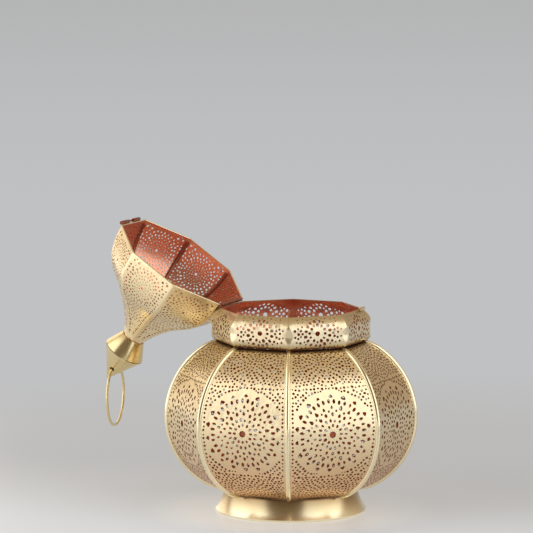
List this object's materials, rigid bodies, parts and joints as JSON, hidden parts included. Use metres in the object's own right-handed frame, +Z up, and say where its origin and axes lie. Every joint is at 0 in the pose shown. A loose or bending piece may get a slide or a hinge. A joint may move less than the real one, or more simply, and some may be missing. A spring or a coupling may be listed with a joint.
{
  "type": "moroccan lantern",
  "caption": "Pierced brass candle lantern: melon body on a flared foot, open collar, hinged ogee dome lid with a cone finial and a hanging ring.",
  "frame": {"origin": "middle of the flat underside that the lantern stands on", "axes": "+Z up along the body's axis, -X towards the lid's hinge, +X towards the clasp, Y along the hinge"},
  "size_m": [0.2552, 0.1854, 0.2253],
  "materials": {
    "brass_sheet": "satin pierced sheet, copper lacquer on the inner face",
    "bright_brass": "spun and brushed",
    "copper_lacquer": "satin copper-red lacquer"
  },
  "bodies": {
    "lantern": {"foot_ring": "bright_brass", "floor_plate": "copper_lacquer", "candle_cup": "copper_lacquer", "body_panel_1": "brass_sheet", "body_panel_2": "brass_sheet", "body_panel_3": "brass_sheet", "body_panel_4": "brass_sheet", "body_panel_5": "brass_sheet", "body_panel_6": "brass_sheet", "body_panel_7": "brass_sheet", "body_panel_8": "brass_sheet", "body_rib_1": "bright_brass", "body_rib_2": "bright_brass", "body_rib_3": "bright_brass", "body_rib_4": "bright_brass", "body_rib_5": "bright_brass", "body_rib_6": "bright_brass", "body_rib_7": "bright_brass", "body_rib_8": "bright_brass", "collar_panel_1": "brass_sheet", "collar_panel_2": "brass_sheet", "collar_panel_3": "brass_sheet", "collar_panel_4": "brass_sheet", "collar_panel_5": "brass_sheet", "collar_panel_6": "brass_sheet", "collar_panel_7": "brass_sheet", "collar_panel_8": "brass_sheet", "hinge_tube_near": "copper_lacquer", "hinge_tube_far": "copper_lacquer", "hinge_pin": "copper_lacquer", "clasp_keeper": "bright_brass"},
    "lid": {"lid_panel_1": "brass_sheet", "lid_panel_2": "brass_sheet", "lid_panel_3": "brass_sheet", "lid_panel_4": "brass_sheet", "lid_panel_5": "brass_sheet", "lid_panel_6": "brass_sheet", "lid_panel_7": "brass_sheet", "lid_panel_8": "brass_sheet", "lid_seam_1": "copper_lacquer", "lid_seam_2": "copper_lacquer", "lid_seam_3": "copper_lacquer", "lid_seam_4": "copper_lacquer", "lid_seam_5": "copper_lacquer", "lid_seam_6": "copper_lacquer", "lid_seam_7": "copper_lacquer", "lid_seam_8": "copper_lacquer", "hinge_tube_lid": "copper_lacquer", "clasp_tube_near": "copper_lacquer", "clasp_tube_far": "copper_lacquer", "finial_cup": "bright_brass", "finial_cone": "bright_brass"},
    "ring": {"hanging_ring": "bright_brass"},
    "bolt": {"clasp_bolt": "copper_lacquer"}
  },
  "joints": [
    {"name": "lid_hinge", "type": "hinge", "parent": "lantern", "child": "lid", "pos_m": [-0.05226, 0, 0.16255], "axis": [0, 1, 0], "range_deg": [0, 145.5]},
    {"name": "ring_swing", "type": "hinge", "parent": "lid", "child": "ring", "pos_m": [-0.15569, 0, 0.10434], "axis": [-0.1812, 0.9755, 0.1245], "range_deg": [-105.5, 174.5]},
    {"name": "bolt_slide", "type": "slide", "parent": "lid", "child": "bolt", "axis": [0, 1, 0], "range_m": [0, 0.0067]}
  ]
}
